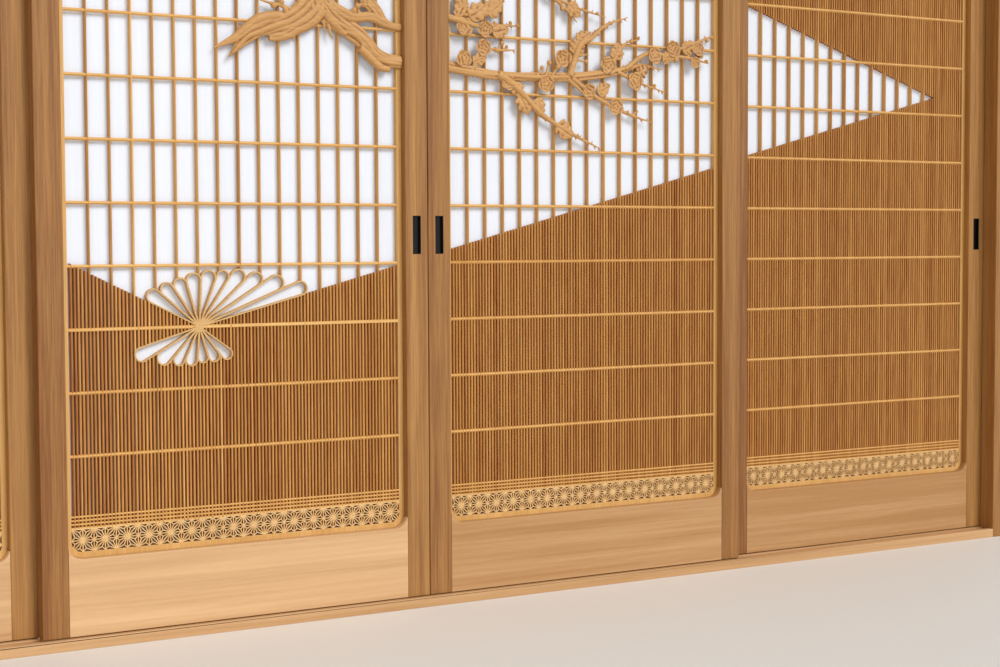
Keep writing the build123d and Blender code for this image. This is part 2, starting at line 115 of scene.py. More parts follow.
@dataclass(frozen=True)
class Finish:
    """The name of a surface and the two colours that it varies between."""

    name: str
    light: str
    dark: str

    def start(self) -> tuple[Material, NodeSocket]:
        """Makes an empty material.

        Returns:
            The material and its Object coordinates.
        """
        made = bpy.data.materials.new(self.name)
        made.use_nodes = True
        made.node_tree.nodes.clear()
        return made, add_node(made.node_tree, "ShaderNodeTexCoord").outputs["Object"]

    def close(
        self,
        tree: NodeTree,
        share: NodeSocket,
        height: NodeSocket,
        bump: Point,
        surface: dict[str, float],
    ) -> None:
        """Mixes the two colours, raises the bumps and connects the shader.

        Args:
            tree: The material's nodes.
            share: How much of the dark colour shows, from 0 to 1.
            height: The height of the bumps, from 0 to 1.
            bump: Their strength, and their depth in millimetres.
            surface: The shader's own values by input name.
        """
        colour = add_node(
            tree,
            "ShaderNodeMix",
            {"Factor": share, 6: linear(self.light), 7: linear(self.dark)},
            data_type="RGBA",
        ).outputs[2]
        strength, depth = bump
        bumps = {"Height": height, "Strength": strength, "Distance": depth * MM}
        normal = add_node(tree, "ShaderNodeBump", bumps).outputs[0]
        inputs = {"Base Color": colour, "Normal": normal, **surface}
        shader = add_node(tree, "ShaderNodeBsdfPrincipled", inputs)
        add_node(tree, "ShaderNodeOutputMaterial", {"Surface": shader.outputs[0]})


@dataclass(frozen=True)
class PlanedSoftwood(Finish):
    """Softwood that was planed and left bare, so fine straight lines and a low sheen show."""

    grain: Grain
    ring_mm: float = 2.6
    fibre_mm: float = 0.7
    patch_mm: float = 160.0
    roughness: float = 0.55
    tone_depth: float = 0.0
    # How dark the painted shade gets on sides behind the face and in grooves.
    painted_shade_depth: float = 0.0
    line_depth: float = 0.45
    patch_depth: float = 0.34
    fibre_depth: float = 0.14
    bump_mm: float = 0.12
    tone_shift: tuple[float, float, float] = (3.1, 1.7, 2.3)

    def build(self) -> Material:
        """Makes the material, with its rings, patches, fibres, the tone of each stick and painted
        shade on sides and grooves.

        Returns:
            The material.
        """
        made, place = self.start()
        tree = made.node_tree
        tone, painted_shade = (
            add_node(tree, "ShaderNodeAttribute", attribute_name=name).outputs["Fac"]
            for name in ("tone", "painted_shade")
        )
        # Each stick shows another part of the pattern, as it comes from another board.
        shift = add_node(
            tree, "ShaderNodeVectorMath", {0: tone, 1: self.tone_shift}, operation="MULTIPLY"
        ).outputs[0]
        moved = add_node(
            tree, "ShaderNodeVectorMath", {0: place, 1: shift}, operation="ADD"
        ).outputs[0]
        # The painted shade mark darkens sides behind the face and grooves, where shade falls, on top
        # of the grain.
        shares = [
            add_node(tree, "ShaderNodeMath", {0: mark, 1: depth}, operation="MULTIPLY").outputs[0]
            for mark, depth in ((tone, self.tone_depth), (painted_shade, self.painted_shade_depth))
        ]
        # Size, detail and warp of the rings, the patches and the fibres, the noise that each
        # starts and ends at, and how dark it gets.
        for size, detail, warp, low, high, depth in (
            (self.ring_mm, 3.0, 0.35, 0.36, 0.66, self.line_depth),
            (self.patch_mm, 2.0, 0.6, 0.32, 0.68, self.patch_depth),
            (self.fibre_mm, 2.0, 0.0, 0.3, 0.7, self.fibre_depth),
        ):
            stretch = Vector(self.grain.value) / (size * MM)
            mapped = add_node(tree, "ShaderNodeMapping", {"Vector": moved, "Scale": stretch})
            pattern = add_node(
                tree,
                "ShaderNodeTexNoise",
                {
                    "Vector": mapped.outputs[0],
                    "Scale": 1.0,
                    "Detail": detail,
                    "Roughness": 0.55,
                    "Distortion": warp,
                },
            ).outputs["Fac"]
            marks = {"Value": pattern, "From Min": low, "From Max": high, "To Max": depth}
            shares.append(add_node(tree, "ShaderNodeMapRange", marks).outputs[0])
        total = shares[0]
        for share in shares[1:]:
            total = add_node(
                tree, "ShaderNodeMath", {0: total, 1: share}, operation="ADD", use_clamp=True
            ).outputs[0]
        # The last pattern is the fibres, which stand out a little.
        surface = {"Roughness": self.roughness, "IOR": 1.5}
        self.close(tree, total, pattern, (0.5, self.bump_mm), surface)
        return made


@dataclass(frozen=True)
class ScreenPaper(Finish):
    """Machine-made mulberry paper, whose long fibres give faint upright streaks."""

    name: str = "mulberry_paper"
    light: str = "EBF1FA"
    dark: str = "E0E7F2"
    streak_mm: float = 5.0
    streak_stretch: float = 0.03
    fibre_mm: float = 1.2
    fibre_stretch: float = 0.25

    def build(self) -> Material:
        """Makes the material from upright streaks and short crossing fibres.

        Returns:
            The material.
        """
        made, place = self.start()
        tree = made.node_tree
        patterns = []
        for size, stretch in (
            (self.streak_mm, self.streak_stretch),
            (self.fibre_mm, self.fibre_stretch),
        ):
            scale = Vector((1.0, 1.0, stretch)) / (size * MM)
            mapped = add_node(tree, "ShaderNodeMapping", {"Vector": place, "Scale": scale})
            inputs = {"Vector": mapped.outputs[0], "Scale": 1.0, "Detail": 3.0}
            patterns.append(add_node(tree, "ShaderNodeTexNoise", inputs).outputs["Fac"])
        streaks, fibres = patterns
        self.close(tree, streaks, fibres, (0.3, 0.05), {"Roughness": 0.9, "IOR": 1.5})
        return made


@dataclass(frozen=True)
class LacqueredMetal(Finish):
    """Pressed metal under black lacquer, with a soft highlight and fine orange peel."""

    name: str = "black_lacquered_metal"
    light: str = "0C0D10"
    dark: str = "050607"
    peel_mm: float = 1.5

    def build(self) -> Material:
        """Makes the material from its orange peel alone.

        Returns:
            The material.
        """
        made, place = self.start()
        tree = made.node_tree
        inputs = {"Vector": place, "Scale": 1 / (self.peel_mm * MM), "Detail": 2.0}
        peel = add_node(tree, "ShaderNodeTexNoise", inputs).outputs["Fac"]
        self.close(tree, peel, peel, (0.2, 0.04), {"Roughness": 0.3, "Specular IOR Level": 0.25})
        return made


STILE = PlanedSoftwood(
    "aged_stile_softwood", "BE8C4C", "7C4A18", Grain.ALONG_Z, 3.4,
    patch_mm=32.0, tone_depth=0.42, line_depth=0.32, patch_depth=0.44,
)
RAIL = PlanedSoftwood(
    "pale_rail_softwood", "E3BA8A", "AC7D49", Grain.ALONG_X, 9.0,
    patch_mm=52.0, tone_depth=0.6, line_depth=0.2, patch_depth=0.46,
)
BORDER = PlanedSoftwood(
    "pale_border_softwood", "E0B06C", "BC883E", Grain.ALONG_Z, 2.4, patch_mm=40.0
)
UPRIGHT = PlanedSoftwood(
    "upright_softwood", "E6B368", "B0762E", Grain.ALONG_Z, 1.8, 0.5, tone_depth=0.3
)
# The slats' sides behind the face get painted shade.
SLAT = PlanedSoftwood(
    "slat_softwood", "F0BA66", "A05A1A", Grain.ALONG_Z, 1.6, 0.5, tone_depth=0.2, painted_shade_depth=0.6
)
BAR = PlanedSoftwood(
    "bar_softwood", "F0C47C", "C88F46", Grain.ALONG_X, 1.8, 0.5, tone_depth=0.2
)
# The hemp strips' sides behind the face get painted shade.
HEMP = PlanedSoftwood(
    "hemp_strip_softwood", "F6CE90", "A8702E", Grain.ALONG_X, 1.8, 0.5,
    tone_depth=0.15, painted_shade_depth=0.9, line_depth=0.3, patch_depth=0.2,
)
# The carvings' grooves get painted shade.
CARVED = PlanedSoftwood(
    "carved_softwood", "D6A464", "85501E", Grain.ALONG_X, 3.0, 0.8,
    roughness=0.6, painted_shade_depth=0.85, line_depth=0.26, patch_depth=0.2,
)
BENT = PlanedSoftwood("bent_strip_softwood", "DDB57A", "B48444", Grain.ALONG_X, 2.0, 0.6)


def new_object(name: str, data: ID) -> Object:
    """Makes an object and links it into the scene.

    Args:
        name: Its name.
        data: Its mesh, curve, lamp or camera.

    Returns:
        The new object.
    """
    made = bpy.data.objects.new(name, data)
    bpy.context.scene.collection.objects.link(made)
    return made


def merge_flat(bm: BMesh, distance_mm: float, degrees: float) -> None:
    """Merges vertices nearer to each other than a distance, and faces tilted under an angle."""
    bmesh.ops.remove_doubles(bm, verts=bm.verts, dist=distance_mm * MM)
    bmesh.ops.dissolve_limit(bm, angle_limit=math.radians(degrees), verts=bm.verts, edges=bm.edges)


def copied_mesh(node: str) -> BMesh:
    """Copies a CAD node's mesh, merged into closed solids with flat faces.

    Args:
        node: The name of the CAD node.

    Returns:
        A new bmesh in the shared frame.
    """
    bm = bmesh.new()
    bm.from_mesh(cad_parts[node].data)
    merge_flat(bm, MERGE_MM, FLAT_DEGREES)
    return bm


def islands(bm: BMesh) -> Iterable[list[BMVert]]:
    """Walks through the separate solids of a mesh.

    Args:
        bm: The mesh.

    Yields:
        The vertices of one solid.
    """
    seen: set[BMVert] = set()
    for start in bm.verts:
        if start in seen:
            continue
        group, waiting = [], [start]
        seen.add(start)
        while waiting:
            vert = waiting.pop()
            group.append(vert)
            for edge in vert.link_edges:
                other = edge.other_vert(vert)
                if other not in seen:
                    seen.add(other)
                    waiting.append(other)
        yield group


def give_tones(bm: BMesh, seed: int) -> None:
    """Gives each separate solid a tone of its own, as sticks from different boards have.

    Args:
        bm: The mesh.
        seed: Where the tones come from.
    """
    chance = random.Random(seed)
    layer = bm.verts.layers.float.new("tone")
    for group in islands(bm):
        tone = chance.random()
        for vert in group:
            vert[layer] = tone


def paint_shade_behind(bm: BMesh, depth: float) -> None:
    """Marks everything behind a depth with painted shade, so that the sides are painted darker to the
    back, where shade falls between the sticks.

    Args:
        bm: The mesh.
        depth: The depth, in metres.
    """
    layer = bm.verts.layers.float.new("painted_shade")
    for vert in bm.verts:
        vert[layer] = 1.0 if vert.co.y > depth else 0.0


def round_edges(
    bm: BMesh, width_mm: float, wanted: Callable[[BMEdge], bool], segments: int = 2
) -> None:
    """Rounds the edges that a test picks, one solid at a time, as a short edge limits them all.

    Args:
        bm: The mesh.
        width_mm: How far the rounding reaches.
        wanted: Says whether an edge is rounded.
        segments: How many faces make up the rounding.
    """
    solids = []
    for group in islands(bm):
        near = dict.fromkeys(edge for vert in group for edge in vert.link_edges)
        solids.append([edge for edge in near if edge.is_manifold and wanted(edge)])
    for edges in solids:
        bmesh.ops.bevel(
            bm,
            geom=edges,
            offset=width_mm * MM,
            offset_type="OFFSET",
            segments=segments,
            profile=0.5,
            affect="EDGES",
            material=-1,
            clamp_overlap=True,
        )


def sharp(edge: BMEdge) -> bool:
    """Says whether two faces meet at a clear outer corner."""
    return edge.calc_face_angle_signed(0.0) > math.radians(SHARP_DEGREES)


def finish_piece(
    bm: BMesh,
    name: str,
    body: str,
    slot: str,
    material: Material,
    replaced: Sequence[str] = (),
    smooth: bool = False,
) -> Object:
    """Turns a mesh into a piece that rides on its body.

    Args:
        bm: The mesh, in the shared frame.
        name: The piece's name.
        body: The body it moves with.
        slot: A material slot's name, which is not used.
        material: Its material.
        replaced: The CAD nodes that it stands for.
        smooth: Whether its faces are shaded smooth.

    Returns:
        The new object.
    """
    mesh = bpy.data.meshes.new(name)
    if smooth:
        for face in bm.faces:
            face.smooth = True
    bm.to_mesh(mesh)
    bm.free()
    mesh.materials.append(material)
    piece = new_object(name, mesh)
    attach(piece, body)
    if replaced:
        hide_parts(*replaced)
    LOG.info("%s: %d faces", name, len(mesh.polygons))
    return piece


@dataclass
class LeafPlace:
    """Where one leaf stands, and where in it the lattice lies, in millimetres."""

    number: int
    left: float
    front: float
    base: float
    reveal: float = 20.0
    lattice_depth: float = 13.5
    lattice_left: float = 70.5

    @classmethod
    def of(cls, number: int) -> LeafPlace:
        """Reads the place of a leaf from its left stile."""
        low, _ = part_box(f"leaf_{number}_stile_left")
        return cls(number, low[0] / MM, low[1] / MM, low[2] / MM)

    @property
    def body(self) -> str:
        """The body that the leaf's pieces ride on."""
        return f"leaf_{self.number}"

    @property
    def lattice_front(self) -> float:
        """The depth of the lattice's face, in metres of the shared frame."""
        return (self.front + self.reveal) * MM

    def at(self, x: float, y: float, z: float) -> Vector:
        """A point of the leaf's own frame, in metres of the shared frame."""
        return Vector((self.left + x, self.front + y, self.base + z)) * MM


@dataclass
class Lattice:
    """The slats, uprights and bars of one leaf, half-lapped so that their faces are flush."""

    place: LeafPlace
    flush_step: float = 0.05
    slat_arris: float = 1.85
    upright_arris: float = 1.4
    bar_arris: float = 3.0
    mesh_arris: float = 1.6

    def standing(self, kind: str, arris: float, finish: Material) -> None:
        """Makes the standing pieces, as deep as the whole lattice.

        Args:
            kind: The end of the CAD node's name.
            arris: The rounding of the front edges.
            finish: The material.
        """
        bm = copied_mesh(f"{self.place.body}_{kind}")
        front = self.place.lattice_front
        back = front + self.place.lattice_depth * MM
        for vert in bm.verts:
            if vert.co.y > front + BEHIND_FACE:
                vert.co.y = back
        give_tones(bm, seed=self.place.number)
        # The sides behind the face are marked for painted shade, darker to the back; the slats' finish
        # paints it.
        paint_shade_behind(bm, front + BEHIND_FACE)

        def upright_front(edge: BMEdge) -> bool:
            """Says whether an edge runs up the face."""
            a, b = (vert.co for vert in edge.verts)
            return max(a.y, b.y) < front + ON_FACE and abs(a.z - b.z) > abs(a.x - b.x)

        self.plane(bm, kind, arris, upright_front, finish)

    def lying(self, kind: str, arris: float, finish: Material) -> None:
        """Makes the bars, let into the front of the standing pieces.

        Args:
            kind: The end of the CAD node's name.
            arris: The rounding of the front edges.
            finish: The material.
        """
        bm = copied_mesh(f"{self.place.body}_{kind}")
        front = self.place.lattice_front + self.flush_step * MM
        shift = front - min(vert.co.y for vert in bm.verts)
        bmesh.ops.translate(bm, verts=bm.verts, vec=(0, shift, 0))
        give_tones(bm, seed=10 + self.place.number)

        def lying_front(edge: BMEdge) -> bool:
            """Says whether an edge runs along the face."""
            a, b = (vert.co for vert in edge.verts)
            return max(a.y, b.y) < front + ON_FACE and abs(a.x - b.x) > abs(a.z - b.z)

        self.plane(bm, kind, arris, lying_front, finish)

    def plane(
        self, bm: BMesh, kind: str, arris: float, wanted: Callable[[BMEdge], bool], finish: Material
    ) -> None:
        """Bevels the front edges of the sticks and finishes them as one piece.

        Args:
            bm: The sticks.
            kind: The end of the CAD node's name.
            arris: The rounding of the front edges.
            wanted: Says whether an edge is bevelled.
            finish: The material.
        """
        round_edges(bm, arris, wanted, segments=1)
        node = f"{self.place.body}_{kind}"
        finish_piece(bm, f"{node}_planed", self.place.body, "lattice", finish, [node])

    def build(self, finishes: dict[Finish, Material]) -> None:
        """Makes all pieces of the lattice.

        Args:
            finishes: The materials by finish.
        """
        self.standing("slats", self.slat_arris, finishes[SLAT])
        self.standing("uprights", self.upright_arris, finishes[UPRIGHT])
        self.lying("crossbars", self.bar_arris, finishes[BAR])
        self.lying("mesh_bars", self.mesh_arris, finishes[BAR])


@dataclass
class HempLeafBand:
    """Two rows of square hemp-leaf cells at the foot of one leaf's lattice."""

    place: LeafPlace
    bottom: float = 178.5
    cell: float = 24.5
    columns: int = 32
    rows: int = 2
    strip: float = 2.2
    depth: float = 13.0
    post_step: float = 0.1
    star_step: float = 0.2
    strip_step: float = 0.05

    def strip_between(self, bm: BMesh, start: Point, end: Point, step: float) -> None:
        """Adds one strip between two points of the leaf's face.

        Args:
            bm: The mesh.
            start: Where it starts, as x and height.
            end: Where it ends.
            step: How far its face lies behind the others, so that no two coincide.
        """
        run = Vector((end[0] - start[0], end[1] - start[1]))
        middle = self.place.at(
            (start[0] + end[0]) / 2,
            self.place.reveal + step + self.depth / 2,
            (start[1] + end[1]) / 2,
        )
        turn = Matrix.Rotation(-math.atan2(run.y, run.x), 4, "Y")
        size = Matrix.Diagonal((run.length * MM, self.depth * MM, self.strip * MM, 1.0))
        bmesh.ops.create_cube(bm, size=1.0, matrix=Matrix.Translation(middle) @ turn @ size)

    def cell_strips(self, column: int, row: int) -> Iterable[tuple[Point, Point]]:
        """Works out the strips of one cell: its diagonal and a three-legged star on each side.

        Args:
            column: The cell's number from the left.
            row: Its number from below.

        Yields:
            Where one strip starts and ends.
        """
        x0 = self.place.lattice_left + column * self.cell
        z0 = self.bottom + row * self.cell
        x1, z1 = x0 + self.cell, z0 + self.cell
        rising = (column + row) % 2 == 0
        ends = ((x0, z0), (x1, z1)) if rising else ((x0, z1), (x1, z0))
        yield ends
        corners = ((x0, z1), (x1, z0)) if rising else ((x0, z0), (x1, z1))
        middle = Vector(((x0 + x1) / 2, (z0 + z1) / 2))
        for corner in corners:
            inner = middle.lerp(Vector(corner), 1 - 1 / (1 + math.sqrt(0.5)))
            for tip in (corner, *ends):
                yield (inner.x, inner.y), tip

    def build(self, finish: Material) -> None:
        """Makes the band.

        Args:
            finish: The material.
        """
        bm = bmesh.new()
        left = self.place.lattice_left
        right = left + self.columns * self.cell
        top = self.bottom + self.rows * self.cell
        for row in range(1, self.rows + 1):
            z = self.bottom + row * self.cell
            self.strip_between(bm, (left, z), (right, z), 0.0)
        for column in range(1, self.columns):
            x = left + column * self.cell
            self.strip_between(bm, (x, self.bottom), (x, top), self.post_step)
        for column in range(self.columns):
            for row in range(self.rows):
                for n, (start, end) in enumerate(self.cell_strips(column, row)):
                    step = self.star_step + self.strip_step * n
                    self.strip_between(bm, start, end, step)
        give_tones(bm, seed=20 + self.place.number)
        # The strips' sides behind the face get painted shade.
        paint_shade_behind(bm, self.place.lattice_front + BEHIND_FACE)
        node = f"{self.place.body}_hemp_band"
        finish_piece(bm, f"{node}_cells", self.place.body, "lattice", finish, [node])


def settled(target: Object) -> BMesh:
    """Applies an object's modifiers and takes the object away.

    Args:
        target: A helper object.

    Returns:
        Its finished mesh.
    """
    bpy.context.view_layer.update()
    graph = bpy.context.evaluated_depsgraph_get()
    mesh = bpy.data.meshes.new_from_object(target.evaluated_get(graph))
    bm = bmesh.new()
    bm.from_mesh(mesh)
    bpy.data.objects.remove(target)
    bpy.data.meshes.remove(mesh)
    return bm


def helper(bm: BMesh, name: str) -> Object:
    """Links a mesh for as long as its modifiers are worked out.

    Args:
        bm: The mesh, which is used up.
        name: The helper's name.

    Returns:
        The helper object.
    """
    mesh = bpy.data.meshes.new(name)
    bm.to_mesh(mesh)
    bm.free()
    return new_object(name, mesh)


@dataclass(frozen=True)
class Petal:
    """A drop-shaped loop between two ribs of the fan: their directions and their length."""

    near: float
    far: float
    length: float

    def outline(self, grown: float, chords: int) -> list[Point]:
        """Points round the petal, moved out from the middle of its ribs.

        Args:
            grown: How far it is moved out, or in where it is less than 0.
            chords: How many chords its round end has.

        Returns:
            The points, measured from the pivot.
        """
        spread = math.radians(abs(self.near - self.far) / 2)
        middle = math.radians((self.near + self.far) / 2)
        swing = math.pi / 2 + spread
        radius = self.length * math.tan(spread) + grown
        reach = self.length / math.cos(spread)

        def point(distance: float, turn: float, size: float) -> Point:
            """Finds a point round a place on the petal's middle.

            Args:
                distance: How far the place is from the pivot.
                turn: The point's direction, measured from the middle's.
                size: How far the point is from the place.

            Returns:
                The point, measured from the pivot.
            """
            return (
                distance * math.cos(middle) + size * math.cos(middle + turn),
                distance * math.sin(middle) + size * math.sin(middle + turn),
            )

        turns = [swing - 2 * swing * n / chords for n in range(chords + 1)]
        end = [point(reach, turn, radius) for turn in turns]
        if grown < 0:
            return [point(-grown / math.sin(spread), 0.0, 0.0), *end]
        return [point(0.0, -swing, grown), point(0.0, swing, grown), *end]


@dataclass
class BentStripFan:
    """The fan of bent strips, which stands on the lowest point of the ridge line."""

    place: LeafPlace
    pivot: Point = (364.5, 656.0)
    start: float = 153.5
    loops: Sequence[Point] = (
        (139.0, 124.0), (123.5, 110.0), (106.0, 101.0), (87.0, 101.0), (69.5, 109.0), (56.5, 123.0),
        (43.0, 142.0), (32.0, 169.0), (22.0, 206.0), (14.8, 256.0),
    )
    root_start: float = -163.0
    root_loops: Sequence[Point] = (
        (-150.0, 143.0), (-132.0, 104.0), (-115.0, 86.0), (-94.0, 74.0), (-73.5, 68.0),
        (-53.0, 73.0), (-36.0, 88.0),
    )
    rib: float = 4.0
    rim: float = 1.2
    hub: float = 10.0
    chords: int = 24
    rounding: float = 0.9
    cut_past: float = 1.0
    merge: float = 0.01
    flat_degrees: float = 0.5
    sharp_degrees: float = 60.0

    def petals(self) -> list[Petal]:
        """Works out the loops above and below the pivot.

        Returns:
            The loops, each between two ribs.
        """
        found = []
        for start, loops in ((self.start, self.loops), (self.root_start, self.root_loops)):
            for far, length in loops:
                found.append(Petal(start, far, length))
                start = far
        return found

    def add_prism(
        self, bm: BMesh, points: Sequence[Point], front: float, back: float
    ) -> None:
        """Adds a solid with an outline round the pivot.

        Args:
            bm: The mesh.
            points: The outline, measured from the pivot.
            front: The depth where it starts.
            back: The depth where it ends.
        """
        verts = [
            bm.verts.new(self.place.at(self.pivot[0] + x, front, self.pivot[1] + z))
            for x, z in points
        ]
        face = bm.faces.new(verts)
        made = bmesh.ops.extrude_face_region(bm, geom=[face])
        moved = [item for item in made["geom"] if isinstance(item, BMVert)]
        bmesh.ops.translate(bm, verts=moved, vec=(0, (back - front) * MM, 0))

    def build(self, finish: Material) -> None:
        """Makes the fan: its outlines joined, its loops cut out and its edges rounded.

        Args:
            finish: The material.
        """
        front = self.place.reveal
        back = front + self.place.lattice_depth
        blank, holes = bmesh.new(), bmesh.new()
        turns = [2 * math.pi * n / self.chords for n in range(self.chords)]
        rim = [(self.hub * math.cos(turn), self.hub * math.sin(turn)) for turn in turns]
        self.add_prism(blank, rim, front, back)
        for petal in self.petals():
            self.add_prism(blank, petal.outline(self.rim, self.chords), front, back)
            hole = petal.outline(-self.rib / 2, self.chords)
            self.add_prism(holes, hole, front - self.cut_past, back + self.cut_past)
        for bm in (blank, holes):
            bmesh.ops.recalc_face_normals(bm, faces=bm.faces)
        cutter = helper(holes, "fan_holes")
        whole = helper(blank, "fan_blank")
        cut = whole.modifiers.new("holes", "BOOLEAN")
        cut.operation = "DIFFERENCE"
        cut.solver = "EXACT"
        cut.use_self = True
        cut.object = cutter
        bm = settled(whole)
        bpy.data.objects.remove(cutter)
        merge_flat(bm, self.merge, self.flat_degrees)

        def on_front(edge: BMEdge) -> bool:
            """Says whether an edge is a sharp one of the face."""
            near = max(vert.co.y for vert in edge.verts) < self.place.lattice_front + ON_FACE
            return near and edge.calc_face_angle(0.0) > math.radians(self.sharp_degrees)

        round_edges(bm, self.rounding, on_front, segments=3)
        give_tones(bm, seed=self.place.number)
        finish_piece(
            bm, "leaf_2_fan_strips", self.place.body, "lattice", finish, ["leaf_2_fan"]
        )


def relax(bm: BMesh, rounds: int, factor: float) -> None:
    """Moves each vertex towards its neighbours.

    Args:
        bm: The mesh.
        rounds: How many times.
        factor: How far it moves each time, as a share of the way.
    """
    for _ in range(rounds):
        bmesh.ops.smooth_vert(
            bm, verts=bm.verts, factor=factor, use_axis_x=True, use_axis_y=True, use_axis_z=True
        )


def mark_painted_shade(bm: BMesh, rounds: int, full_mm: float) -> None:
    """Writes how deep in a groove each vertex lies, from 0 to 1, as painted shade that makes grooves
    darker.

    Args:
        bm: The mesh.
        rounds: How many times a copy of the shape is smoothed to compare it with.
        full_mm: The depth that counts as 1.
    """
    bm.normal_update()
    before = [(vert.co.copy(), vert.normal.copy()) for vert in bm.verts]
    relax(bm, rounds, 1.0)
    layer = bm.verts.layers.float.new("painted_shade")
    for vert, (place, normal) in zip(bm.verts, before):
        depth = (vert.co - place).dot(normal) / (full_mm * MM)
        vert[layer] = min(max(depth, 0.0), 1.0)
        vert.co = place


@dataclass(frozen=True)
class Limb:
    """A carved limb: stations (x, height, width) along its middle, and its strands."""

    stations: Sequence[Station]
    strands: int = 1
    sway: float = 0.25
    stand_off: float = 3.0
    overlap: float = 1.4
    middle_rise: float = 1.6
    depth_sway: float = 3.0
    least_depth: float = 0.3

    def paths(self, chance: random.Random, reach: float) -> Iterable[list[tuple]]:
        """Works out the strands that lie side by side and leave grooves between them.

        Args:
            chance: Where the irregularities come from.
            reach: How far the limb may stand out.

        Yields:
            One strand as places (x, height, depth in front of the lattice, radius).
        """
        last = len(self.stations) - 1
        for n in range(self.strands):
            share = 2 * n / (self.strands - 1) - 1 if self.strands > 1 else 0.0
            path = []
            for k, (x, z, width) in enumerate(self.stations):
                before = self.stations[max(k - 1, 0)]
                after = self.stations[min(k + 1, last)]
                along = Vector((after[0] - before[0], after[1] - before[1])).normalized()
                radius = width / 2 * (self.overlap / self.strands if self.strands > 1 else 1.0)
                radius *= chance.uniform(1 - self.sway / 2, 1 + self.sway / 2)
                side = share * (width / 2 - radius)
                side += chance.uniform(-1, 1) * self.sway * radius
                depth = self.stand_off * (self.middle_rise - share**2)
                depth += chance.uniform(-1, 1) * self.sway * self.depth_sway
                depth = max(min(depth, reach - radius), self.least_depth)
                path.append((x - along.y * side, z + along.x * side, depth, radius))
            yield path


# Heights and widths of a bud, as shares of its width.
BUD_OUTLINE = ((-0.48, 0.3), (-0.3, 0.8), (0.0, 1.0), (0.3, 0.8), (0.48, 0.3))
# How far back along the limb a bud's stalk starts, and its widths at the foot and the tip.
STALK_LEAN = 0.7
STALK_WIDTHS = (7.0, 5.0)
# Nearer to a limb than this share of its width a bud has no stalk.
STALK_FROM = 1 / 3
# A thorn's widths at the foot and the tip, how far off the limb's middle its foot is, and how
# far it may lean along the limb and stray from its turn.
THORN_WIDTHS = (5.0, 1.6)
THORN_FOOT = 0.3
THORN_LEAN = (0.1, 0.9)
THORN_STRAY = (0.2, 0.8)


def bud(x: float, z: float, width: float) -> Limb:
    """Makes a round bud or knob, as high as it is wide, as a short limb."""
    stations = tuple((x, z + rise * width, share * width) for rise, share in BUD_OUTLINE)
    return Limb(stations, sway=0.1, stand_off=4.0)


def stalked_bud(x: float, z: float, width: float, limbs: Sequence[Limb]) -> list[Limb]:
    """Makes a bud, on a stalk that comes out of the nearest limb if it is off the limbs.

    Args:
        x: Its place along the leaf.
        z: Its height.
        width: Its width.
        limbs: The limbs that it may grow on.

    Returns:
        The bud, with its stalk if it has one.
    """
    place = Vector((x, z))
    feet = []
    for limb in limbs:
        for (x0, z0, _), (x1, z1, _) in zip(limb.stations, limb.stations[1:]):
            start, run = Vector((x0, z0)), Vector((x1 - x0, z1 - z0))
            share = min(max((place - start).dot(run) / run.length_squared, 0.0), 1.0)
            near = start + run * share
            back = min(STALK_LEAN * (near - place).length, run.length * share)
            feet.append(((near - place).length, near - run.normalized() * back))
    distance, foot = min(feet, key=lambda found: found[0])
    if distance < width * STALK_FROM:
        return [bud(x, z, width)]
    thick, thin = STALK_WIDTHS
    return [bud(x, z, width), Limb(((foot.x, foot.y, thick), (x, z, thin)))]


def thorns(limb: Limb, spacing: float, length: float, chance: random.Random) -> list[Limb]:
    """Makes short thorns along both sides of a limb.

    Args:
        limb: The limb.
        spacing: The mean distance between thorns.
        length: How far a thorn sticks out.
        chance: Where the irregularities come from.

    Returns:
        The thorns, each a limb of its own.
    """
    found = []
    thick, thin = THORN_WIDTHS
    for (x0, z0, w0), (x1, z1, w1) in zip(limb.stations, limb.stations[1:]):
        run = Vector((x1 - x0, z1 - z0))
        along = run.normalized()
        across = Vector((-along.y, along.x))
        for n in range(int(run.length / spacing)):
            at = Vector((x0, z0)) + along * spacing * (n + chance.uniform(*THORN_STRAY))
            width = w0 + (w1 - w0) * (n + 0.5) * spacing / run.length
            side = chance.choice((-1, 1))
            foot = at + across * side * width * THORN_FOOT
            tip = foot + (across * side + along * chance.uniform(*THORN_LEAN)) * length
            stations = ((foot.x, foot.y, thick), (tip.x, tip.y, thin))
            found.append(Limb(stations, stand_off=2.0))
    return found


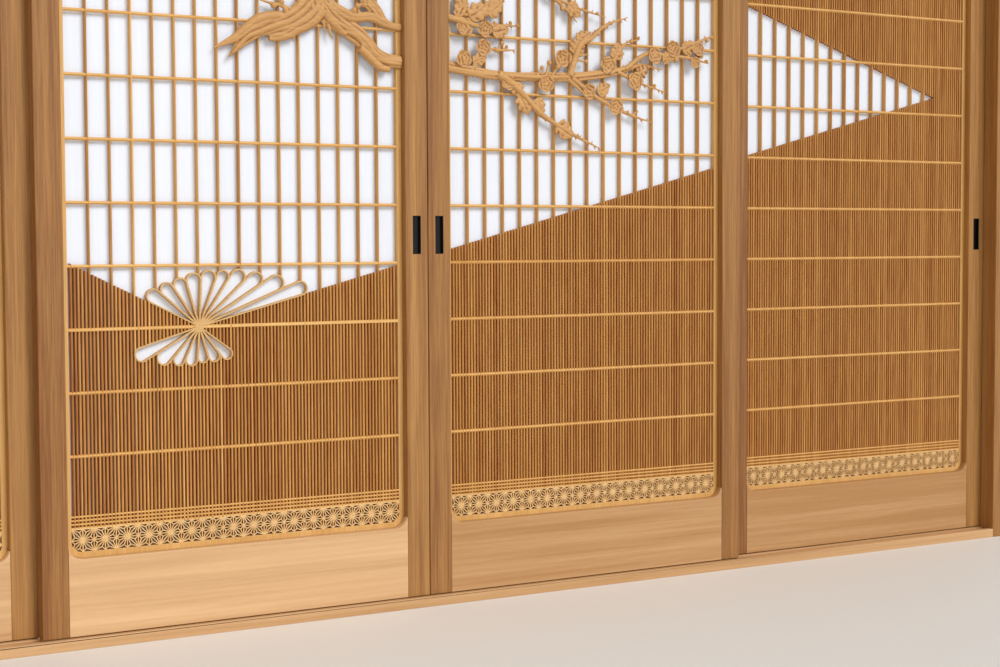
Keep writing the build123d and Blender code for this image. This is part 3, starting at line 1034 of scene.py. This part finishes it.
@dataclass
class Carving:
    """Limbs cut from one board, grown together where they meet."""

    place: LeafPlace
    node: str
    limbs: Sequence[Limb]
    seed: int
    voxel: float
    smoothing: int = 3
    side_low: float = 58.5
    side_high: float = 866.5
    reach: float = 14.5
    clearance: float = 0.05

    def grown(self) -> Object:
        """Makes all strands as round rods along smooth paths.

        Returns:
            A curve object with one path for each strand.
        """
        curve = bpy.data.curves.new(self.node, "CURVE")
        curve.dimensions = "3D"
        curve.bevel_depth = MM
        curve.bevel_resolution = 3
        curve.resolution_u = 8
        curve.use_fill_caps = True
        chance = random.Random(self.seed)
        for limb in self.limbs:
            for path in limb.paths(chance, self.reach):
                spline = curve.splines.new("BEZIER")
                spline.bezier_points.add(len(path) - 1)
                for knot, (x, z, depth, radius) in zip(spline.bezier_points, path):
                    across = self.place.lattice_left + x
                    knot.co = self.place.at(across, self.place.reveal - depth, z)
                    knot.handle_left_type = "AUTO"
                    knot.handle_right_type = "AUTO"
                    knot.radius = radius
        return new_object(self.node, curve)

    def build(self, finish: Material) -> None:
        """Makes the carving, smoothed and kept between the stiles and off the lattice.

        Args:
            finish: The material.
        """
        whole = helper(settled(self.grown()), f"{self.node}_strands")
        remesh = whole.modifiers.new("joined", "REMESH")
        remesh.mode = "VOXEL"
        remesh.voxel_size = self.voxel * MM
        bm = settled(whole)
        relax(bm, self.smoothing, 0.5)
        low = self.place.at(self.side_low, self.place.reveal - self.reach, 0.0)
        high = self.place.at(self.side_high, self.place.reveal - self.clearance, 0.0)
        for vert in bm.verts:
            vert.co.x = min(max(vert.co.x, low.x), high.x)
            vert.co.y = min(max(vert.co.y, low.y), high.y)
        # The grooves between the strands get painted shade.
        mark_painted_shade(bm, rounds=6, full_mm=0.7)
        finish_piece(
            bm, f"{self.node}_carved", self.place.body, "carving", finish, [self.node], True
        )


# Places in the tables are measured from the lattice's left edge and the leaf's foot. The pine
# ends at the top rail and the right stile, and the plum starts at the left stile.
PINE_HEAD = 1872.0
PINE_END = 796.5
PINE = (
    Limb(
        (
            (604, PINE_HEAD, 58), (566, 1720, 60), (588, 1560, 58), (574, 1440, 64),
            (574, 1400, 70), (584, 1366, 60),
        ),
        strands=5, stand_off=4.0,
    ),
    Limb(
        (
            (508, 1348, 24), (470, 1345, 30), (440, 1335, 34), (412, 1317, 30), (385, 1297, 20),
            (355, 1281, 12), (331, 1270, 3),
        ),
        strands=2,
    ),
    Limb(
        (
            (578, 1404, 54), (548, 1364, 52), (515, 1343, 44), (480, 1328, 36), (445, 1315, 30),
            (415, 1300, 26), (395, 1282, 20), (380, 1266, 12), (367, 1252, 3),
        ),
        strands=3, stand_off=5.0,
    ),
    Limb(
        (
            (590, 1375, 42), (560, 1346, 40), (530, 1326, 36), (503, 1311, 30), (480, 1303, 24),
            (464, 1301, 18),
        ),
        strands=2,
    ),
    Limb(
        (
            (588, 1392, 44), (620, 1355, 46), (650, 1336, 44), (675, 1323, 42), (705, 1300, 42),
            (731, 1277, 36), (760, 1264, 34), (785, 1262, 32), (PINE_END, 1262, 32),
        ),
        strands=5, sway=0.35, stand_off=5.0,
    ),
    Limb(((588, 1374, 24), (612, 1350, 25), (635, 1330, 20), (652, 1317, 13))),
    Limb(((690, 1292, 20), (715, 1267, 20), (740, 1250, 18), (765, 1243, 13))),
    Limb(
        (
            (610, 1386, 28), (640, 1368, 28), (678, 1360, 24), (706, 1363, 24), (727, 1360, 24),
            (748, 1352, 22), (773, 1345, 20), (PINE_END, 1342, 20),
        ),
        strands=2,
    ),
    Limb(
        ((660, 1500, 20), (684, 1445, 30), (709, 1402, 34), (734, 1376, 28), (756, 1350, 14)),
        strands=6, sway=0.6, stand_off=5.0,
    ),
    Limb(((600, 1540, 24), (640, 1500, 24), (684, 1445, 22)), strands=2),
    Limb(((526, 1324, 9), (523, 1292, 2))),
    Limb(((598, 1346, 10), (602, 1318, 3))),
    Limb(((609, 1338, 10), (619, 1305, 3))),
    Limb(((691, 1296, 11), (707, 1259, 3))),
    Limb(((548, 1372, 12), (521, 1366, 9), (495, 1373, 9), (468, 1378, 8), (440, 1384, 4))),
    Limb(((521, 1367, 8), (528, 1380, 7), (538, 1388, 6))),
    bud(475, 1373, 15), bud(504, 1364, 14), bud(495, 1382, 13), bud(538, 1388, 14),
    Limb(((692, 1364, 9), (684, 1380, 8), (700, 1394, 6))),
    bud(674, 1374, 14), bud(682, 1385, 15), bud(700, 1388, 13), bud(700, 1400, 14),
)

PLUM_START = -11.5
PLUM_LIMBS = (
    Limb(
        (
            (PLUM_START, 1258, 28), (48, 1250, 26), (138, 1243, 22), (263, 1244, 22),
            (360, 1250, 21), (470, 1268, 18), (553, 1287, 12), (619, 1279, 3),
        ),
        strands=3, sway=0.4,
    ),
    Limb(((128, 1244, 20), (170, 1223, 22), (208, 1190, 18), (249, 1157, 14), (290, 1132, 11))),
    Limb(((290, 1132, 11), (346, 1106, 9), (430, 1072, 3))),
    Limb(((329, 1242, 9), (369, 1213, 8), (398, 1192, 3))),
    Limb(((341, 1246, 12), (423, 1195, 12), (500, 1165, 9), (582, 1143, 3))),
    Limb(((478, 1268, 10), (536, 1244, 9), (626, 1221, 3))),
    Limb(((500, 1276, 10), (571, 1318, 11), (626, 1317, 10), (700, 1311, 8), (762, 1302, 4))),
    Limb(((640, 1316, 8), (674, 1336, 9), (718, 1352, 8), (784, 1378, 3))),
    Limb(
        (
            (336, 1250, 20), (350, 1292, 18), (366, 1333, 18), (398, 1347, 14), (434, 1377, 9),
            (508, 1405, 3),
        )
    ),
    Limb(((452, 1268, 9), (476, 1312, 12), (500, 1338, 6), (545, 1352, 3))),
    Limb(
        ((PLUM_START, 1374, 18), (36, 1367, 15), (75, 1358, 12), (117, 1361, 9), (196, 1365, 3))
    ),
    Limb(
        ((PLUM_START, 1502, 26), (120, 1492, 20), (232, 1470, 15), (327, 1412, 9), (357, 1383, 3))
    ),
    Limb(((262, 1456, 9), (335, 1425, 9), (442, 1401, 3))),
    Limb(((58, 1254, 9), (94, 1300, 9), (146, 1304, 7), (178, 1306, 3))),
    Limb(((40, 1364, 16), (84, 1386, 22), (124, 1410, 20), (150, 1424, 8)), strands=2),
)
# Place, height and width.
PLUM_BUDS = (
    (164, 1371, 9), (182, 1366, 8), (120, 1367, 11), (135, 1356, 12), (140, 1320, 12),
    (153, 1313, 9), (124, 1303, 13), (274, 1280, 13), (253, 1267, 10), (298, 1271, 14),
    (355, 1305, 18), (382, 1288, 12), (385, 1306, 9), (517, 1346, 12), (540, 1356, 8),
    (456, 1387, 10), (437, 1375, 12), (418, 1359, 11), (754, 1361, 12), (773, 1367, 8),
    (701, 1324, 10), (737, 1319, 12), (755, 1307, 9), (655, 1306, 16), (264, 1148, 9),
    (357, 1105, 8), (341, 1110, 9), (506, 1167, 10), (535, 1170, 8), (589, 1237, 10),
    (429, 1204, 10), (415, 1409, 9), (347, 1412, 12), (312, 1414, 11),
)
# Place and height of the foot, length and direction in degrees.
PLUM_BLADES = (
    (18, 1372, 50, 62), (50, 1376, 58, 35), (96, 1392, 56, 24), (30, 1396, 46, 95),
    (112, 1346, 48, 12), (58, 1270, 40, 25), (172, 1228, 44, 300), (190, 1196, 50, 300),
    (240, 1194, 44, 285), (296, 1130, 54, 325), (346, 1304, 52, 62), (356, 1338, 46, 30),
    (330, 1428, 46, 320), (470, 1296, 46, 78), (676, 1330, 48, 28), (414, 1214, 44, 20),
    (534, 1262, 40, 30), (612, 1306, 40, 15),
)
# Place and height of the middle, and width.
PLUM_BLOSSOMS = (
    (34, 1354, 42), (92, 1352, 38), (88, 1308, 38), (34, 1278, 40), (156, 1226, 38),
    (264, 1228, 40), (312, 1294, 44), (388, 1214, 36), (446, 1282, 42), (468, 1180, 40),
    (528, 1247, 44), (588, 1314, 40), (646, 1334, 40), (724, 1338, 34), (714, 1302, 28),
)


@dataclass
class PlumFlowers:
    """The waved leaves and open blossoms in front of the plum limbs."""

    place: LeafPlace
    leaf_stand_off: float = 7.0
    leaf_bulge: float = 3.0
    leaf_thick: float = 2.4
    leaf_lean: float = 2.2
    leaf_width: float = 0.4
    leaf_blunt: float = 0.6
    leaf_belly: float = 0.7
    tip_early: float = 1.02
    leaf_hook: float = 0.5
    hook_start: float = 0.4
    rib_height: float = 0.75
    rib_choices: Sequence[float] = (3.0, 3.5, 4.0)
    rib_slope: float = 0.5
    rib_wave: float = 0.1
    edge_wander: float = 0.3
    face_wander: float = 1.6
    middle_groove: float = 1.4
    groove_width: float = 0.16
    petal_count: int = 5
    petal_size: float = 0.3
    petal_place: float = 0.25
    petal_thick: float = 2.4
    petal_cup: float = 3.2
    petal_lap: float = 0.55
    petal_curl: float = 0.5
    curl_waves: float = 9.0
    flower_stand_off: float = 6.5
    flower_lean: float = 0.09
    seed: int = 7

    def leaf(
        self, bm: BMesh, x: float, z: float, length: float, turn: float, chance: random.Random
    ) -> None:
        """Adds one leaf: a grid bent to an uneven oval with soft ribs, then thickened.

        Args:
            bm: The mesh.
            x: Where its foot is along the lattice.
            z: The height of its foot.
            length: Its length.
            turn: The direction it grows in, in degrees.
            chance: Where the irregularities come from.
        """
        made = bmesh.ops.create_grid(bm, x_segments=24, y_segments=16, size=1.0)["verts"]
        heading = math.radians(turn)
        along = Vector((math.cos(heading), math.sin(heading)))
        across = Vector((-along.y, along.x))
        ribs = chance.choice(self.rib_choices)
        lean = chance.uniform(-1, 1) * self.leaf_lean
        hook = chance.uniform(-self.leaf_hook, self.leaf_hook) * length
        for vert in made:
            run, side = (vert.co.x + 1) / 2, vert.co.y
            wave = math.cos(2 * math.pi * (ribs * run - self.rib_slope * abs(side)))
            rough = noise.noise(Vector((x + 3 * run, z + 2 * side, lean)))
            swell = math.sin(math.pi * min(run * self.tip_early, 1.0) ** self.leaf_belly)
            width = self.leaf_width * length * swell**self.leaf_blunt
            width *= 1 + self.rib_wave * wave + self.edge_wander * rough
            place = Vector((x, z)) + along * length * run
            place += across * (side * width + hook * (run - self.hook_start) ** 2)
            rise = self.leaf_bulge * (1 - side**2) * math.sin(math.pi * run) ** 0.5
            rise += self.rib_height * (wave * abs(side) + self.face_wander * rough)
            groove = self.middle_groove * math.exp(-((side / self.groove_width) ** 2))
            rise += lean * side - self.rib_height * groove
            depth = self.place.reveal - self.leaf_stand_off - rise
            vert.co = self.place.at(self.place.lattice_left + place.x, depth, place.y)
        faces = {face for vert in made for face in vert.link_faces}
        bmesh.ops.recalc_face_normals(bm, faces=list(faces))
        bmesh.ops.solidify(bm, geom=list(faces), thickness=self.leaf_thick * MM)

    def blossom(
        self, bm: BMesh, x: float, z: float, width: float, chance: random.Random
    ) -> None:
        """Adds one blossom: cupped petals that overlap, round a boss, on a calyx.

        Args:
            bm: The mesh.
            x: Its middle along the lattice.
            z: Its middle's height.
            width: Its width.
            chance: Where the irregularities come from.
        """
        left = self.place.lattice_left + x
        start = chance.uniform(0, 2 * math.pi)
        lean = Vector((chance.uniform(-1, 1), chance.uniform(-1, 1))) * self.flower_lean
        for n in range(self.petal_count):
            turn = start + 2 * math.pi * n / self.petal_count
            size = self.petal_size * width * chance.uniform(0.85, 1.15)
            reach = self.petal_place * width * chance.uniform(0.9, 1.1)
            outward = Vector((math.cos(turn), math.sin(turn)))
            made = bmesh.ops.create_uvsphere(bm, u_segments=24, v_segments=14, radius=1.0)
            for vert in made["verts"]:
                flat = Vector((vert.co.x, vert.co.z))
                spot = outward * reach + flat * size
                cup = self.petal_cup * (spot.length / (0.5 * width)) ** 2
                curl = self.petal_curl * math.cos(self.curl_waves * flat.dot(outward))
                rise = cup + curl + self.petal_lap * n + lean.dot(spot)
                depth = self.place.reveal - self.flower_stand_off - rise
                depth += vert.co.y * self.petal_thick / 2
                vert.co = self.place.at(left + spot.x, depth, z + spot.y)
        # The boss and the calyx: the half width as a share, the half depth, the stand-off.
        for size, thick, stand_off in ((0.12, 2.2, 8.2), (0.26, 3.6, 3.8)):
            middle = self.place.at(left, self.place.reveal - stand_off, z)
            scale = Matrix.Diagonal((size * width * MM, thick * MM, size * width * MM, 1.0))
            bmesh.ops.create_icosphere(
                bm, subdivisions=3, radius=1.0, matrix=Matrix.Translation(middle) @ scale
            )

    def build(self, finish: Material) -> None:
        """Makes the leaves and the blossoms.

        Args:
            finish: The material.
        """
        chance = random.Random(self.seed)
        leaves = bmesh.new()
        for blade in PLUM_BLADES:
            self.leaf(leaves, *blade, chance)
        flowers = bmesh.new()
        for flower in PLUM_BLOSSOMS:
            self.blossom(flowers, *flower, chance)
        for bm, kind in ((leaves, "leaves"), (flowers, "blossoms")):
            bmesh.ops.recalc_face_normals(bm, faces=bm.faces)
            # The creases of the leaves and petals get painted shade.
            mark_painted_shade(bm, rounds=4, full_mm=0.6)
            finish_piece(bm, f"leaf_3_plum_{kind}", self.place.body, "carving", finish, (), True)


@dataclass
class SoftenedPiece:
    """A CAD node with its sharp edges rounded, as a plane and sandpaper leave them."""

    node: str
    body: str
    slot: str
    rounding: float = 0.6
    tone: float = 0.0

    def build(self, finish: Material) -> None:
        """Makes the piece from a merged copy of the node's mesh.

        Args:
            finish: The material.
        """
        bm = copied_mesh(self.node)
        bm.normal_update()
        round_edges(bm, self.rounding, sharp)
        low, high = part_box(self.node)
        layer = bm.verts.layers.float.new("tone")
        for vert in bm.verts:
            vert.co = [min(max(c, a), b) for c, a, b in zip(vert.co, low, high)]
            vert[layer] = self.tone
        finish_piece(bm, f"{self.node}_softened", self.body, self.slot, finish, [self.node])


@dataclass
class Studio:
    """The pale floor, the soft lamps and the camera at the picture's viewing angle."""

    eye_mm: tuple[float, float, float] = (-1868.4, -3618.7, 865.2)
    yaw_degrees: float = 29.94
    pitch_degrees: float = -3.04
    roll_degrees: float = -0.246
    focal_px: float = 1704.95
    image_width_px: float = 1000.0
    sensor_mm: float = 36.0
    sun_from: tuple[float, float, float] = (0.4, -1.0, 0.75)
    sun_power: float = 2.15
    sun_angle: float = 30.0
    lamp_aim: tuple[float, float, float] = (0.3, 0.0, 0.9)
    lamp_size: float = 3.0
    surround: float = 0.38
    floor_reach: float = 20.0

    def camera(self) -> None:
        """Places the camera."""
        yaw, pitch = math.radians(self.yaw_degrees), math.radians(self.pitch_degrees)
        roll = math.radians(self.roll_degrees)
        ahead = Vector(
            (math.sin(yaw) * math.cos(pitch), math.cos(yaw) * math.cos(pitch), math.sin(pitch))
        )
        flat_right = Vector((math.cos(yaw), -math.sin(yaw), 0))
        flat_up = flat_right.cross(ahead)
        right = math.cos(roll) * flat_right + math.sin(roll) * flat_up
        up = math.cos(roll) * flat_up - math.sin(roll) * flat_right
        turn = Matrix((right, up, -ahead)).transposed().to_4x4()
        data = bpy.data.cameras.new("camera")
        data.sensor_fit = "HORIZONTAL"
        data.sensor_width = self.sensor_mm
        data.lens = self.focal_px / self.image_width_px * self.sensor_mm
        camera = new_object("camera", data)
        camera.matrix_world = Matrix.Translation(Vector(self.eye_mm) * MM) @ turn
        bpy.context.scene.camera = camera

    def lamp(self, name: str, kind: str, at: Vector, aim: Vector, **settings: float) -> None:
        """Adds a lamp.

        Args:
            name: Its name.
            kind: Blender's name for its kind.
            at: Its place, in metres.
            aim: The point that it shines at.
            settings: Its own properties, such as its power.
        """
        data = bpy.data.lights.new(name, kind)
        for key, value in settings.items():
            setattr(data, key, value)
        lamp = new_object(name, data)
        lamp.location = at
        lamp.rotation_euler = (aim - at).to_track_quat("-Z", "Y").to_euler()

    def floor(self) -> None:
        """Lays the floor."""
        bm = bmesh.new()
        bmesh.ops.create_grid(bm, x_segments=1, y_segments=1, size=self.floor_reach)
        mesh = bpy.data.meshes.new("studio_floor")
        bm.to_mesh(mesh)
        bm.free()
        made = bpy.data.materials.new("studio_floor_paint")
        made.use_nodes = True
        shader = made.node_tree.nodes["Principled BSDF"]
        shader.inputs["Base Color"].default_value = linear("E9E6E0")
        shader.inputs["Roughness"].default_value = 0.7
        mesh.materials.append(made)
        new_object("studio_floor", mesh)

    def world(self) -> None:
        """Lights the scene evenly from all round, with a white background."""
        world = bpy.data.worlds.new("studio")
        world.use_nodes = True
        tree = world.node_tree
        tree.nodes.clear()
        path = add_node(tree, "ShaderNodeLightPath")
        seen = add_node(
            tree,
            "ShaderNodeMath",
            {0: path.outputs["Is Camera Ray"], 1: path.outputs["Is Glossy Ray"]},
            operation="MAXIMUM",
        )
        light, white = (
            add_node(tree, "ShaderNodeBackground", {"Color": (1.0,) * 4, "Strength": strength})
            for strength in (self.surround, 1.0)
        )
        inputs = {0: seen.outputs[0], 1: light.outputs[0], 2: white.outputs[0]}
        mixed = add_node(tree, "ShaderNodeMixShader", inputs)
        add_node(tree, "ShaderNodeOutputWorld", {"Surface": mixed.outputs[0]})
        bpy.context.scene.world = world

    def build(self) -> None:
        """Sets up the studio."""
        self.camera()
        self.floor()
        self.world()
        # The main light is far away at the right, as soft as a row of windows.
        shine, angle = -Vector(self.sun_from), math.radians(self.sun_angle)
        self.lamp("key", "SUN", Vector(), shine, energy=self.sun_power, angle=angle)
        for name, place, power in (("fill", (-3.5, -4.5, 2.2), 45.0), ("back", (0.0, 4.0, 2.6), 80.0)):
            at, aim = Vector(place), Vector(self.lamp_aim)
            self.lamp(name, "AREA", at, aim, size=self.lamp_size, energy=power)
        bpy.context.scene.view_settings.view_transform = "Standard"


def dress_frame(finishes: dict[Finish, Material]) -> None:
    """Rounds and dresses the sill, the head and the jambs.

    Args:
        finishes: The materials by finish.
    """
    for node, finish in (
        ("sill", RAIL),
        ("head", RAIL),
        ("jamb_left", STILE),
        ("jamb_right", STILE),
    ):
        piece = SoftenedPiece(node, "frame", "frame_wood", rounding=1.0, tone=0.25)
        piece.build(finishes[finish])


# How dark each leaf's boards are: the left stile, the right stile and both rails.
BOARD_TONES = {
    1: (0.4, 0.3, 0.05),
    2: (0.8, 0.3, 0.0),
    3: (0.75, 0.6, 0.8),
    4: (0.8, 0.15, 1.0),
}


def dress_leaf(place: LeafPlace, finishes: dict[Finish, Material]) -> None:
    """Builds and dresses one leaf.

    Args:
        place: Where the leaf stands.
        finishes: The materials by finish.
    """
    Lattice(place).build(finishes)
    HempLeafBand(place).build(finishes[HEMP])
    left_tone, right_tone, rail_tone = BOARD_TONES[place.number]
    for kind, slot, finish, tone in (
        ("stile_left", "stile", STILE, left_tone),
        ("stile_right", "stile", STILE, right_tone),
        ("bottom_rail", "rail", RAIL, rail_tone),
        ("top_rail", "rail", RAIL, rail_tone),
        ("border", "border", BORDER, 0.0),
        ("pulls", "pull", LacqueredMetal(), 0.0),
    ):
        node = f"{place.body}_{kind}"
        SoftenedPiece(node, place.body, slot, 0.5, tone).build(finishes[finish])
    for kind, finish in (("paper", ScreenPaper()), ("runners", STILE)):
        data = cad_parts[f"{place.body}_{kind}"].data
        data.materials.clear()
        data.materials.append(finishes[finish])


def main() -> None:
    """Builds the dressed screen and its studio."""
    logging.basicConfig(level=logging.INFO, format="%(message)s")
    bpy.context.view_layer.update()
    woods = (STILE, RAIL, BORDER, UPRIGHT, SLAT, BAR, HEMP, CARVED, BENT)
    finishes = {finish: finish.build() for finish in (*woods, ScreenPaper(), LacqueredMetal())}
    dress_frame(finishes)
    for number in range(1, 5):
        dress_leaf(LeafPlace.of(number), finishes)
    BentStripFan(LeafPlace.of(2)).build(finishes[BENT])
    Carving(LeafPlace.of(2), "leaf_2_pine", PINE, seed=3, voxel=1.6).build(finishes[CARVED])
    chance = random.Random(11)
    prickles = [
        thorn
        for limb in PLUM_LIMBS
        for thorn in thorns(limb, spacing=15.0, length=8.0, chance=chance)
    ]
    buds = [piece for spot in PLUM_BUDS for piece in stalked_bud(*spot, PLUM_LIMBS)]
    limbs = (*PLUM_LIMBS, *prickles, *buds)
    plum = Carving(LeafPlace.of(3), "leaf_3_plum", limbs, seed=5, voxel=1.5, smoothing=1)
    plum.build(finishes[CARVED])
    PlumFlowers(LeafPlace.of(3)).build(finishes[CARVED])
    Studio().build()


if __name__ == "__main__":
    main()
